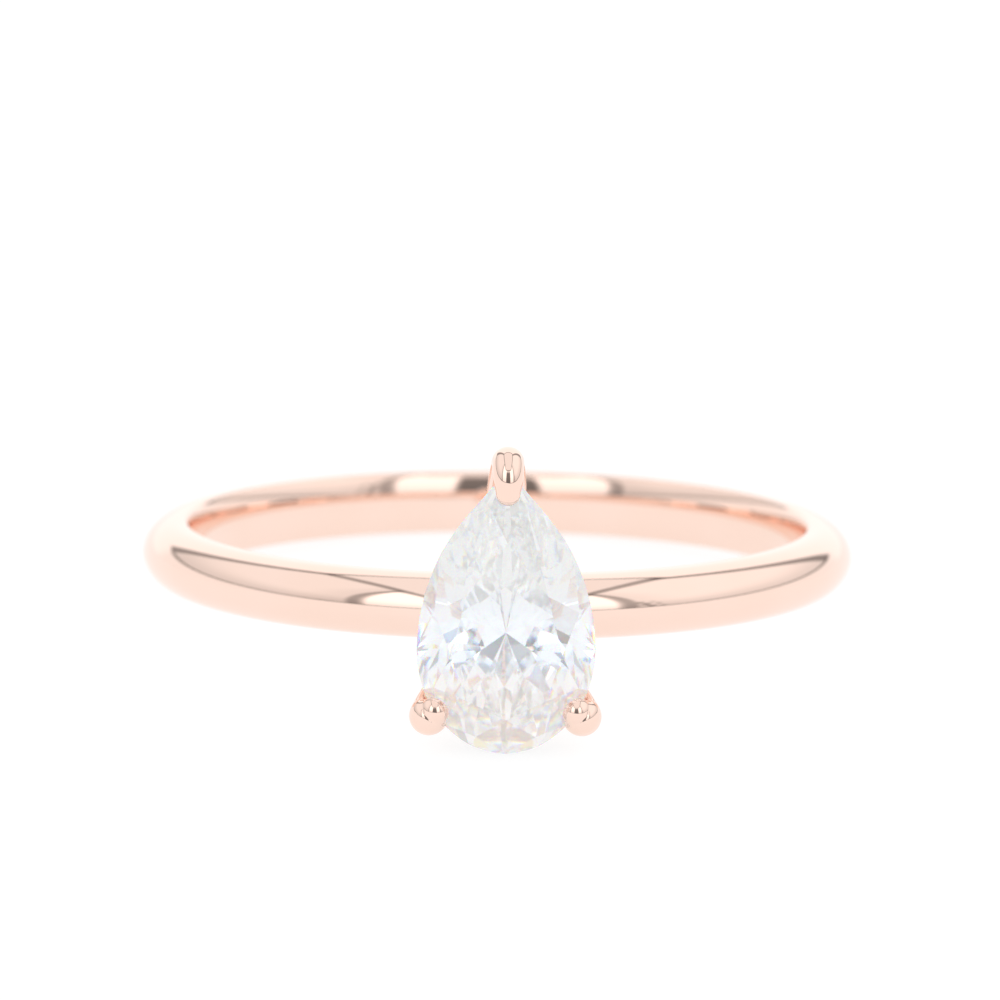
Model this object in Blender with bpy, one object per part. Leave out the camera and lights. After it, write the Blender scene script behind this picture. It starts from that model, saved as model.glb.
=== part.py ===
"""Pear-cut solitaire engagement ring: a half-round comfort-fit shank, a three-claw
double-rail basket head and a pear brilliant.

Lengths below are in millimetres, and every point is written relative to the centre of
the finger bore: x to the right, y along the bore's cross direction (the stone faces -Y)
and z along the finger. One empty carries the whole ring into the model's frame, whose
origin is the centre of the ring's overall box.
"""

import itertools
import math

import bmesh
import bpy
import numpy as np
from mathutils import Matrix

MM = 0.001

# Colours, linear
ROSE_GOLD = (0.93, 0.66, 0.55)
GOLD_SOLDER = (0.93, 0.7, 0.58)
CRYSTAL = (0.95, 0.96, 0.97)
DIAMOND_IOR = 2.42
POLISHED, BRIGHT_DIPPED = 0.06, 0.12  # roughness of the wires and of the solder

# Shank: finger size US 7
BORE_DIAMETER = 17.3
SHANK_WIDTH = 1.8
SHANK_THICKNESS = 1.42
COMFORT_RISE = 0.36  # how far the widest line of the section stands out from the bore
SIDE_FLAT = 0.24  # radial width of the flat on each side of the shank
DOME_POWER = 1.87  # superellipse powers of the outer dome and the inner comfort curve
COMFORT_POWER = 2.0
SHANK_STEPS = 88
SECTION_STEPS = 6  # per quarter of the section
SEAM_WIDTH = 0.08
SEAM_STEPS = 2
SEAT_CUT = 0.22  # depth of the flat filed under the head

# Pear brilliant
STONE_LENGTH = 7.7
STONE_WIDTH = 4.8
ROUND_DEPTH = 2.83  # from the widest line to the round end
FLANK_ANGLE = math.radians(41)  # half the angle of the stone's point
GIRDLE = 0.14
CROWN_HEIGHT = 0.85
PAVILION_DEPTH = 2.1
CULET_RISE = 0.4  # the culet stands this far from the widest line towards the point
TABLE_SHARE = 0.62
STAR_SHARE = 0.5  # where a star facet ends, as a share of the crown from girdle to table
LOWER_HALF_SHARE = 0.72  # length of the halves on the pavilion, as a share of the way to the culet
MAIN_FACETS = 8
OUTLINE_STEPS = 24  # girdle flats on each half of the outline
GIRDLE_RADIUS = 12.5  # mid-girdle, measured from the finger axis
STONE_Z = 0.45  # centre of the stone's length above the shank's mid-plane

# Head
CLAW_RADIUS = 0.53
CLAW_FOOT_RADIUS = 0.48
POINT_CLAW_OUTSET = 0.18  # claw centre outside the stone's point
SIDE_CLAW_X = 2.06
SIDE_CLAW_DROP = 2.84  # below the centre of the stone's length
# Along each claw's bent top: distance in from the claw's line, height above mid-girdle, radius
POINT_CLAW_BEND = (
    (0, -0.1, 0.45),
    (0, 0.16, 0.43),
    (0.14, 0.37, 0.42),
    (0.4, 0.49, 0.4),
    (0.72, 0.52, 0.33),
)
SIDE_CLAW_BEND = ((0, -0.1, 0.53), (0.02, 0.04, 0.53), (0.1, 0.16, 0.5), (0.24, 0.26, 0.4))
CLAW_FOOT_DROP = 0.12  # from the base rail's centre to the centre of the claw's round foot
FOOT_SHARE = 0.64  # spread of the claws at the base rail, as a share of that at the girdle
BASE_RAIL_RADIUS = 0.33
GALLERY_RAIL_RADIUS = 0.3
GALLERY_DROP = 1.32  # below mid-girdle
RAIL_INSET = 0.24
RAIL_TIP_RADIUS = 0.3
RAIL_STEPS = 16
TUBE_POINTS = 14
DOME_END = math.radians(78)  # where a wire's round end is closed by a small flat
DOME_STEPS = 3

# Solder: half sizes of each bead along the rail, along the claw or outwards, and across
BEAD_LENGTH = 0.74
BEAD_RISE = 0.16  # beyond the rail's own radius
BEAD_DEPTH = 0.34
BEAD_SHIFT = 0.12  # from the rail's centre towards the claw
HEAD_BEAD = (0.62, 0.46, 0.36)
BEAD_SEGMENTS, BEAD_RINGS = 16, 10

# Clearances between pieces that touch on the bench
GAP = 0.012
STONE_ROOM = 1.008  # size of the space left for the stone in the claws, as a share of the stone
SOLDER_FILM = 0.03

# Tolerances
PARALLEL = 1e-7  # determinant of three unit normals below which they share no point
TOUCHING = 1e-6
COPLANAR = 3e-5
SAME_POINT_PLACES = 5  # decimal places

BORE_RADIUS = BORE_DIAMETER / 2
OUTER_RADIUS = BORE_RADIUS + SHANK_THICKNESS
WIDEST_RADIUS = BORE_RADIUS + COMFORT_RISE
SEAT_RADIUS = OUTER_RADIUS - SEAT_CUT
HALF_WIDTH = STONE_WIDTH / 2
WING_HEIGHT = STONE_LENGTH - ROUND_DEPTH
WING_RADIUS = (WING_HEIGHT - HALF_WIDTH / math.tan(FLANK_ANGLE)) / math.tan(FLANK_ANGLE / 2)
WIDEST_Z = STONE_Z + ROUND_DEPTH - STONE_LENGTH / 2
BASE_RAIL_OUT = SEAT_RADIUS + GAP * 2 + SOLDER_FILM + BASE_RAIL_RADIUS
GALLERY_OUT = GIRDLE_RADIUS - GALLERY_DROP
CLAW_ROOTS = {
    "point": (0.0, STONE_Z + STONE_LENGTH / 2 + POINT_CLAW_OUTSET),
    "left": (-SIDE_CLAW_X, STONE_Z - SIDE_CLAW_DROP),
    "right": (SIDE_CLAW_X, STONE_Z - SIDE_CLAW_DROP),
}
OUT = np.array([0.0, -1.0, 0.0])


def at(x, z, out):
    """The point x to the right, z along the finger and `out` from the axis towards the stone."""
    return np.array([x, -out, z])


# Materials and objects


def metal(name, colour, roughness):
    material = bpy.data.materials.new(name)
    material.use_nodes = True
    shader = material.node_tree.nodes["Principled BSDF"]
    shader.inputs["Base Color"].default_value = (*colour, 1)
    shader.inputs["Metallic"].default_value = 1
    shader.inputs["Roughness"].default_value = roughness
    return material


def rose_gold(name):
    return metal(name + "_gold", ROSE_GOLD, POLISHED)


def solder(name):
    return metal(name + "_alloy", GOLD_SOLDER, BRIGHT_DIPPED)


def gem(name):
    material = metal(name + "_crystal", CRYSTAL, 0)
    shader = material.node_tree.nodes["Principled BSDF"]
    shader.inputs["Metallic"].default_value = 0
    shader.inputs["IOR"].default_value = DIAMOND_IOR
    shader.inputs["Transmission Weight"].default_value = 1
    return material


def add_piece(mesh, frame, finish, sharp_angle=30):
    piece = bpy.data.objects.new(mesh.name, mesh)
    bpy.context.collection.objects.link(piece)
    piece.parent = frame
    mesh.materials.append(finish(mesh.name))
    mesh.shade_smooth()
    mesh.set_sharp_from_angle(angle=math.radians(sharp_angle))
    return piece


def add_cutter(mesh, frame):
    cutter = bpy.data.objects.new(mesh.name, mesh)
    bpy.context.collection.objects.link(cutter)
    cutter.parent = frame
    cutter.hide_render = True
    cutter.display_type = "WIRE"
    return cutter


def mesh_of(name, points, faces):
    mesh = bpy.data.meshes.new(name)
    mesh.from_pydata([tuple(point * MM) for point in points], [], faces)
    mesh.validate()
    return mesh


def cut(thing, *cutters, folded=False):
    """`folded` is for a mesh that passes through itself at a tight bend, inside what is cut away."""
    for cutter in cutters:
        boolean = thing.modifiers.new(cutter.name, "BOOLEAN")
        boolean.operation = "DIFFERENCE"
        boolean.solver = "EXACT"
        boolean.use_self = folded
        boolean.object = cutter


# Pear outlines


def arc(centre, radius, start, end, steps):
    """Points (x, z) on a circle, angles in radians from +x, without the last one."""
    angles = np.linspace(start, end, steps, endpoint=False)
    return [(centre[0] + radius * math.cos(a), centre[1] + radius * math.sin(a)) for a in angles]


def half_pear(half_width, wing_radius, depth, widest_z, tip_radius, steps):
    """The right half of a pear from its point down to its round end: a tip arc, a straight
    flank, a wing arc and a quarter ellipse."""
    wing_x = half_width - wing_radius
    flank_end = (
        wing_x + wing_radius * math.cos(FLANK_ANGLE),
        widest_z + wing_radius * math.sin(FLANK_ANGLE),
    )
    tip_z = flank_end[1] + flank_end[0] / math.tan(FLANK_ANGLE) - tip_radius / math.sin(FLANK_ANGLE)
    flank_start = (tip_radius * math.cos(FLANK_ANGLE), tip_z + tip_radius * math.sin(FLANK_ANGLE))
    flank_steps = steps // 8
    points = []
    if tip_radius:
        points += arc((0, tip_z), tip_radius, math.pi / 2, FLANK_ANGLE, flank_steps)
    points += [tuple(p) for p in np.linspace(flank_start, flank_end, flank_steps, endpoint=False)]
    points += arc((wing_x, widest_z), wing_radius, FLANK_ANGLE, 0, steps // 2 - flank_steps)
    for step in range(steps // 2 + 1):
        angle = math.pi * step / steps
        points.append((half_width * math.cos(angle), widest_z - depth * math.sin(angle)))
    points[0] = (0.0, points[0][1])
    points[-1] = (0.0, points[-1][1])
    return points


def mirrored(half):
    return half + [(-x, z) for x, z in half[-2:0:-1]]


# Stone


def plane_through(a, b, c, inside):
    """(normal, distance) of the plane through three points, facing away from `inside`."""
    normal = np.cross(b - a, c - a)
    normal /= np.linalg.norm(normal)
    if normal @ (inside - a) > 0:
        normal = -normal
    return normal, normal @ a


def meeting_point(*planes):
    """Where three planes meet."""
    return np.linalg.solve([normal for normal, _ in planes], [distance for _, distance in planes])


def brilliant_side(outline, girdle_out, apex, ridge_share, inside):
    """The main facets that meet at an apex, and two halves between each pair and the girdle."""
    rim = [at(x, z, girdle_out) for x, z in outline]
    step = len(rim) // MAIN_FACETS
    mains = []
    for i in range(0, len(rim), step):
        tangent = rim[(i + 1) % len(rim)] - rim[i - 1]
        mains.append(plane_through(rim[i], rim[i] + tangent, apex, inside))
    planes, ridges = list(mains), []
    for i, first in enumerate(mains):
        second = mains[(i + 1) % MAIN_FACETS]
        start, middle, end = (rim[(i * step + k) % len(rim)] for k in (0, step // 2, step))
        corner = meeting_point(first, second, (OUT, girdle_out))
        ridge = corner + (apex - corner) * ridge_share
        ridges.append(ridge)
        planes.append(plane_through(start, middle, ridge, inside))
        planes.append(plane_through(middle, end, ridge, inside))
    return planes, ridges, rim[::step]


def stone_planes():
    half = half_pear(HALF_WIDTH, WING_RADIUS, ROUND_DEPTH, WIDEST_Z, 0, OUTLINE_STEPS)
    outline = mirrored(half)
    inside = at(0, WIDEST_Z, GIRDLE_RADIUS)
    crown_out = GIRDLE_RADIUS + GIRDLE / 2
    table_out = crown_out + CROWN_HEIGHT
    apex = at(0, WIDEST_Z, crown_out + CROWN_HEIGHT / (1 - TABLE_SHARE))
    crown, ridges, mains = brilliant_side(
        outline, crown_out, apex, STAR_SHARE * (1 - TABLE_SHARE), inside
    )
    pavilion_out = GIRDLE_RADIUS - GIRDLE / 2
    culet = at(0, WIDEST_Z + CULET_RISE, pavilion_out - PAVILION_DEPTH)
    pavilion = brilliant_side(outline, pavilion_out, culet, LOWER_HALF_SHARE, inside)[0]
    planes = [(OUT, table_out), *crown, *pavilion]
    corners = [point + (apex - point) * (1 - TABLE_SHARE) for point in mains]
    for i, ridge in enumerate(ridges):
        planes.append(plane_through(corners[i], corners[(i + 1) % MAIN_FACETS], ridge, inside))
    for (x, z), (next_x, next_z) in zip(outline, outline[1:] + outline[:1]):
        edge = at(x, z, crown_out), at(next_x, next_z, crown_out), at(x, z, pavilion_out)
        planes.append(plane_through(*edge, inside))
    return planes


def solid_between(planes):
    """Points and faces of the convex solid inside all the planes."""
    normals = np.array([normal for normal, _ in planes])
    distances = np.array([distance for _, distance in planes])
    triples = np.array(list(itertools.combinations(range(len(planes)), 3)))
    matrices = normals[triples]
    sound = np.abs(np.linalg.det(matrices)) > PARALLEL
    corners = np.linalg.solve(matrices[sound], distances[triples[sound]][..., None])[..., 0]
    inside = (corners @ normals.T <= distances + TOUCHING).all(axis=1)
    corners = corners[inside]
    rounded = np.round(corners, SAME_POINT_PLACES)
    corners = corners[np.unique(rounded, axis=0, return_index=True)[1]]
    faces, seen = [], set()
    for normal, distance in zip(normals, distances):
        on_plane = np.flatnonzero(np.abs(corners @ normal - distance) < COPLANAR)
        if len(on_plane) < 3 or tuple(on_plane) in seen:
            continue
        seen.add(tuple(on_plane))
        spokes = corners[on_plane] - corners[on_plane].mean(axis=0)
        across = spokes[0] / np.linalg.norm(spokes[0])
        angles = np.arctan2(spokes @ np.cross(normal, across), spokes @ across)
        faces.append([int(i) for i in on_plane[np.argsort(angles)]])
    return corners, faces


# Shank


def section_points():
    """The shank's section as (radius, z), from the outer crest down one side and up the other."""
    half = SHANK_WIDTH / 2
    dome = OUTER_RADIUS - WIDEST_RADIUS - SIDE_FLAT / 2
    comfort = COMFORT_RISE - SIDE_FLAT / 2
    right = []
    for rise, base, power in (
        (dome, WIDEST_RADIUS + SIDE_FLAT / 2, DOME_POWER),
        (-comfort, WIDEST_RADIUS - SIDE_FLAT / 2, COMFORT_POWER),
    ):
        quarter = []
        for step in range(SECTION_STEPS + 1):
            angle = math.pi / 2 * step / SECTION_STEPS
            z = half * math.sin(angle) ** (2 / power)
            quarter.append((base + rise * math.cos(angle) ** (2 / power), z))
        right += quarter if rise > 0 else quarter[::-1]
    return right + [(radius, -z) for radius, z in right[-2:0:-1]]


def spun_section(start, sweep, steps):
    """The section spun about the finger axis from `start`, with both ends capped.

    Angle 0 is at +Y."""
    shape = bmesh.new()
    corners = []
    for radius, z in section_points():
        corners.append(shape.verts.new(np.array([0, radius, z]) * MM))
    face = shape.faces.new(corners)
    bmesh.ops.rotate(shape, verts=shape.verts, matrix=Matrix.Rotation(start, 3, "Z"))
    bmesh.ops.spin(
        shape, geom=[face], axis=(0, 0, 1), cent=(0, 0, 0), angle=sweep, steps=steps
    )
    bmesh.ops.recalc_face_normals(shape, faces=shape.faces)
    return shape


def finished(shape, name):
    mesh = bpy.data.meshes.new(name)
    shape.to_mesh(mesh)
    shape.free()
    return mesh


def shank_mesh():
    half_seam = SEAM_WIDTH / 2 / WIDEST_RADIUS
    shape = spun_section(half_seam, 2 * math.pi - 2 * half_seam, SHANK_STEPS)
    everything = shape.verts[:] + shape.edges[:] + shape.faces[:]
    cut_plane = bmesh.ops.bisect_plane(
        shape,
        geom=everything,
        plane_co=at(0, 0, SEAT_RADIUS) * MM,
        plane_no=OUT,
        dist=TOUCHING * MM,
        clear_outer=True,
    )
    rim = [g for g in cut_plane["geom_cut"] if isinstance(g, bmesh.types.BMEdge)]
    bmesh.ops.edgeloop_fill(shape, edges=rim)
    bmesh.ops.recalc_face_normals(shape, faces=shape.faces)
    return finished(shape, "shank")


def seam_mesh():
    half_seam = (SEAM_WIDTH / 2 - GAP) / WIDEST_RADIUS
    shape = spun_section(-half_seam, 2 * half_seam, SEAM_STEPS)
    return finished(shape, "shank_seam_solder")


# Wires


def tube(path, radii, side, closed=False):
    """A round wire along a path that lies in one plane. `side` is that plane's normal."""
    count = len(path)
    points, faces = [], []
    for i, centre in enumerate(path):
        before = path[i - 1] if closed or i else path[0]
        after = path[(i + 1) % count] if closed or i < count - 1 else path[-1]
        across = np.cross(after - before, side)
        across /= np.linalg.norm(across)
        for k in range(TUBE_POINTS):
            angle = 2 * math.pi * (k + 0.5) / TUBE_POINTS
            points.append(centre + radii[i] * (side * math.cos(angle) + across * math.sin(angle)))
    for i in range(count if closed else count - 1):
        ring, following = i * TUBE_POINTS, (i + 1) % count * TUBE_POINTS
        for k in range(TUBE_POINTS):
            turn = (k + 1) % TUBE_POINTS
            faces.append([ring + k, ring + turn, following + turn, following + k])
    if not closed:
        faces.append(list(range(TUBE_POINTS))[::-1])
        faces.append([(count - 1) * TUBE_POINTS + k for k in range(TUBE_POINTS)])
    return points, faces


def spread(out):
    """How far the claws stand apart at this height, as a share of their spread at the girdle."""
    height = (out - BASE_RAIL_OUT) / (GIRDLE_RADIUS - BASE_RAIL_OUT)
    return FOOT_SHARE + (1 - FOOT_SHARE) * height


def rail_path(out):
    """A pear loop that follows the stone's outline at this height, a little inside the claws."""
    share = spread(out)
    half = half_pear(
        share * HALF_WIDTH - RAIL_INSET,
        share * WING_RADIUS - RAIL_INSET,
        share * ROUND_DEPTH - RAIL_INSET,
        share * WIDEST_Z,
        RAIL_TIP_RADIUS,
        RAIL_STEPS,
    )
    return [at(x, z, out) for x, z in mirrored(half)]


def rail_mesh(name, out, radius):
    path = rail_path(out)
    return mesh_of(name, *tube(path, [radius] * len(path), OUT, closed=True))


def domed(path, radii):
    """The path with a round end added at its last point."""
    heading = path[-1] - path[-2]
    heading /= np.linalg.norm(heading)
    path, radii = list(path), list(radii)
    centre, radius = path[-1], radii[-1]
    for step in range(1, DOME_STEPS + 1):
        angle = DOME_END * step / DOME_STEPS
        path.append(centre + heading * radius * math.sin(angle))
        radii.append(radius * math.cos(angle))
    return path, radii


def claw_mesh(name, which, grow=0.0):
    """A wire that leans out from the base rail to the girdle and bends in over the crown."""
    root = np.array(CLAW_ROOTS[which])
    reach = np.linalg.norm(root)
    radial = at(*(root / reach), 0)
    foot_out = BASE_RAIL_OUT - CLAW_FOOT_DROP
    path = [radial * reach * spread(out) + OUT * out for out in (foot_out, GALLERY_OUT)]
    radii = [CLAW_FOOT_RADIUS + grow, CLAW_RADIUS + grow]
    for inward, height, radius in POINT_CLAW_BEND if which == "point" else SIDE_CLAW_BEND:
        path.append(radial * (reach - inward) + OUT * (GIRDLE_RADIUS + height))
        radii.append(radius + grow)
    path, radii = domed(path[::-1], radii[::-1])
    path, radii = domed(path[::-1], radii[::-1])
    return mesh_of(name, *tube(path, radii, np.cross(radial, OUT)))


# Solder


def bead_mesh(name, centre, half_sizes, axes, flat_below=False):
    """An ellipsoid, or the half of it beyond its centre plane, with half_sizes along the axes."""
    shape = bmesh.new()
    bmesh.ops.create_uvsphere(shape, u_segments=BEAD_SEGMENTS, v_segments=BEAD_RINGS, radius=1)
    if flat_below:
        geometry = shape.verts[:] + shape.edges[:] + shape.faces[:]
        bmesh.ops.bisect_plane(shape, geom=geometry, plane_no=(0, 0, 1), clear_inner=True)
        bmesh.ops.holes_fill(shape, edges=shape.edges)
    for vertex in shape.verts:
        offset = sum(axis * size * c for axis, size, c in zip(axes, half_sizes, vertex.co))
        vertex.co = (centre + offset) * MM
    bmesh.ops.recalc_face_normals(shape, faces=shape.faces)
    return finished(shape, name)


def nearest_on_rail(out, root):
    claw_centre = at(*(np.array(root) * spread(out)), out)
    return min(rail_path(out), key=lambda point: np.linalg.norm(point - claw_centre))


def add_claw(which, root, frame, rails, stone_room, cutters):
    """A claw notched for the stone and both rails, and the solder bead at each rail."""
    claw = add_piece(claw_mesh(f"claw_{which}", which), frame, rose_gold)
    cut(claw, stone_room, *cutters["notch"].values(), folded=which == "point")
    claw_room = add_cutter(claw_mesh(f"claw_{which}_room", which, GAP), frame)
    cut(claw_room, *cutters["film"].values())
    radial = at(*(np.array(root) / np.linalg.norm(root)), 0)
    axes = (np.cross(radial, OUT), OUT, radial)
    for rail, (out, radius) in rails.items():
        centre = nearest_on_rail(out, root) + radial * BEAD_SHIFT
        half_sizes = (BEAD_LENGTH, radius + BEAD_RISE, BEAD_DEPTH)
        bead = bead_mesh(f"{rail}_solder_{which}", centre, half_sizes, axes)
        cut(add_piece(bead, frame, solder), cutters["skin"][rail], claw_room)


def add_head_bead(side, sign, frame, skin):
    """The solder between the shank's filed flat and the base rail where it crosses."""
    right_half = [point for point in rail_path(BASE_RAIL_OUT) if point[0] > 0]
    crossing = min(right_half, key=lambda point: abs(point[2]))
    centre = at(sign * crossing[0], 0, SEAT_RADIUS + GAP)
    axes = (np.array([1.0, 0, 0]), np.array([0, 0, 1.0]), OUT)
    bead = bead_mesh(f"head_solder_{side}", centre, HEAD_BEAD, axes, flat_below=True)
    cut(add_piece(bead, frame, solder), skin)


def centre_on_origin(frame):
    """Moves the ring so that its overall box is centred on the model's origin."""
    bpy.context.view_layer.update()
    graph = bpy.context.evaluated_depsgraph_get()
    corners = []
    for thing in frame.children:
        if not thing.hide_render:
            corners += [vertex.co for vertex in thing.evaluated_get(graph).data.vertices]
    corners = np.array(corners)
    frame.location = -(corners.min(axis=0) + corners.max(axis=0)) / 2


def build():
    for thing in list(bpy.data.objects):
        bpy.data.objects.remove(thing, do_unlink=True)
    frame = bpy.data.objects.new("ring_frame", None)
    bpy.context.collection.objects.link(frame)

    corners, facets = solid_between(stone_planes())
    stone_centre = at(0, WIDEST_Z, GIRDLE_RADIUS)
    room_corners = stone_centre + (corners - stone_centre) * STONE_ROOM
    add_piece(mesh_of("diamond", corners, facets), frame, gem, sharp_angle=1)
    stone_room = add_cutter(mesh_of("stone_room", room_corners, facets), frame)

    add_piece(shank_mesh(), frame, rose_gold)
    add_piece(seam_mesh(), frame, solder)

    rails = {
        "gallery": (GALLERY_OUT, GALLERY_RAIL_RADIUS),
        "base": (BASE_RAIL_OUT, BASE_RAIL_RADIUS),
    }
    growths = {"skin": GAP, "film": GAP + SOLDER_FILM, "notch": 2 * GAP + SOLDER_FILM}
    cutters = {kind: {} for kind in growths}
    for rail, (out, radius) in rails.items():
        add_piece(rail_mesh(f"{rail}_rail", out, radius), frame, rose_gold)
        for kind, growth in growths.items():
            mesh = rail_mesh(f"{rail}_{kind}", out, radius + growth)
            cutters[kind][rail] = add_cutter(mesh, frame)
    for which, root in CLAW_ROOTS.items():
        add_claw(which, root, frame, rails, stone_room, cutters)
    for side, sign in (("left", -1), ("right", 1)):
        add_head_bead(side, sign, frame, cutters["skin"]["base"])
    centre_on_origin(frame)


build()
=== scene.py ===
"""The looks of the pear-cut solitaire ring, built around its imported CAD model.

Points are written in millimetres from the centre of the finger bore: x to the right, z along
the finger, and `out` the distance from the finger axis towards the stone, which faces -Y.
The band, rails, claws and solder are rebuilt here as fine meshes; the diamond's facets stay.
"""

import math

import bmesh
import bpy
import numpy as np
from mathutils import Matrix, Vector


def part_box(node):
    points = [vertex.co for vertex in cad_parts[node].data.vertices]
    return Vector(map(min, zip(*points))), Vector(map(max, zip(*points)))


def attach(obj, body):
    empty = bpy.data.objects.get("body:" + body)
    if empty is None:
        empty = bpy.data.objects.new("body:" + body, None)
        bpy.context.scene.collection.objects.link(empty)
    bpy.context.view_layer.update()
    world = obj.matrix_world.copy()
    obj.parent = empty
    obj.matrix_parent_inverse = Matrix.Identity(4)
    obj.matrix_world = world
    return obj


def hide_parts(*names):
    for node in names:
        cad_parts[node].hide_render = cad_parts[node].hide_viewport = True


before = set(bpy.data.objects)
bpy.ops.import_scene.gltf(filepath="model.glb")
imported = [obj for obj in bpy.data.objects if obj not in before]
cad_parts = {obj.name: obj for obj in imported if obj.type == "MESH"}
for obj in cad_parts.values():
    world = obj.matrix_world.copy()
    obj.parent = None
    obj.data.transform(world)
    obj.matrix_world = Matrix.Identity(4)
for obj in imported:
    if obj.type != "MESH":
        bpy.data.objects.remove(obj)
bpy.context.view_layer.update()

MM = 0.001
OUT = np.array([0.0, -1.0, 0.0])
ACROSS = np.array([1.0, 0.0, 0.0])
ALONG = np.array([0.0, 0.0, 1.0])

# Shape of the band's section, which the frame's boxes don't give
SIDE_FLAT = 0.24
COMFORT_RISE = 0.36
DOME_POWER = 1.87  # of the curve outside; 2 would be an ellipse
COMFORT_POWER = 2.0
SECTION_STEPS = 26  # per quarter of the section
BAND_STEPS = 420
SEAM_WIDTH = 0.08

# Shape of the stone's outline and of the head around it
ROUND_DEPTH = 2.83
FLANK_ANGLE = math.radians(41)
CROWN_HEIGHT = 0.85
GIRDLE = 0.14
POINT_CLAW_OUTSET = 0.18
SIDE_CLAW_X = 2.06
SIDE_CLAW_DROP = 2.84
CLAW_RADIUS = 0.53
CLAW_FOOT_RADIUS = 0.48
CLAW_FOOT_DROP = 0.12
# Along each claw's bent top: distance in from the claw's line, height above mid-girdle, radius
POINT_CLAW_BEND = (
    (0, -0.1, 0.45),
    (0, 0.16, 0.43),
    (0.14, 0.37, 0.42),
    (0.4, 0.49, 0.4),
    (0.72, 0.52, 0.33),
)
SIDE_CLAW_BEND = ((0, -0.1, 0.53), (0.02, 0.04, 0.53), (0.1, 0.16, 0.5), (0.24, 0.26, 0.4))
CLAW_STEPS = 14  # rings between two of those points
CLAW_SIDES = 56
TIP_STEPS = 12
RAIL_INSET = 0.24
RAIL_TIP_RADIUS = 0.3
RAIL_STEPS = 96
RAIL_SIDES = 40
BEAD_LENGTH = 0.74  # half length of the bead where a claw meets a rail
BEAD_RISE = 0.16  # how far it stands over the rail
BEAD_DEPTH = 0.34
BEAD_SHIFT = 0.12  # how far outside the rail's line its centre lies
BEAD_SEGMENTS, BEAD_RINGS = 48, 32
HEAD_BEAD = (0.62, 0.46, 0.36)  # half sizes of the beads that hold the head on the band
GAP = 0.012
SEAM_GAP = 0.002  # the solder in the band is polished flush
SOLDER_FILM = 0.03
STONE_ROOM = 1.008  # how much larger than the stone its room in the claws is
SHARP_ANGLE = math.radians(28)

# Tolerances of the mesh tools, in metres
ON_PLANE = 1e-9
SAME_POINT = 1e-8

# Sizes and places from the frame
shank_low, shank_high = (np.array(corner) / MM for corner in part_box("shank"))
OUTER_RADIUS = (shank_high[0] - shank_low[0]) / 2
HALF_WIDTH = (shank_high[2] - shank_low[2]) / 2
BORE_CENTRE = np.array([0.0, shank_high[1] - OUTER_RADIUS, (shank_low[2] + shank_high[2]) / 2])
SEAT_OUT = BORE_CENTRE[1] - shank_low[1]


def box_of(node):
    """A CAD node's lowest and highest corners, in millimetres from the centre of the bore."""
    return [np.array(corner) / MM - BORE_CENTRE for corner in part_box(node)]


def bore_radius():
    points = np.array([vertex.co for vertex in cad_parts["shank"].data.vertices]) / MM
    return np.hypot(points[:, 0], points[:, 1] - BORE_CENTRE[1]).min()


BORE_RADIUS = bore_radius()
WIDEST_RADIUS = BORE_RADIUS + COMFORT_RISE
STONE_LOW, STONE_HIGH = box_of("diamond")
STONE_Z = (STONE_LOW[2] + STONE_HIGH[2]) / 2
STONE_HALF_LENGTH = (STONE_HIGH[2] - STONE_LOW[2]) / 2
STONE_HALF_WIDTH = (STONE_HIGH[0] - STONE_LOW[0]) / 2
WIDEST_Z = STONE_LOW[2] + ROUND_DEPTH
WING_HEIGHT = STONE_HIGH[2] - WIDEST_Z
WING_RADIUS = (WING_HEIGHT - STONE_HALF_WIDTH / math.tan(FLANK_ANGLE)) / math.tan(FLANK_ANGLE / 2)
GIRDLE_OUT = -STONE_LOW[1] - CROWN_HEIGHT - GIRDLE / 2
RAILS = {}
for rail in ("base", "gallery"):
    low, high = box_of(f"{rail}_rail")
    RAILS[rail] = (-(low[1] + high[1]) / 2, (high[1] - low[1]) / 2)
BASE_OUT = RAILS["base"][0]
FOOT_SHARE = ((box_of("base_rail")[1][0] - RAILS["base"][1]) + RAIL_INSET) / STONE_HALF_WIDTH
CLAW_ROOTS = {
    "point": (0.0, STONE_Z + STONE_HALF_LENGTH + POINT_CLAW_OUTSET),
    "left": (-SIDE_CLAW_X, STONE_Z - SIDE_CLAW_DROP),
    "right": (SIDE_CLAW_X, STONE_Z - SIDE_CLAW_DROP),
}


def at(x, z, out):
    """The point x to the right, z along the finger and `out` from the finger axis."""
    return np.array([x, -out, z])


# Materials


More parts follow.
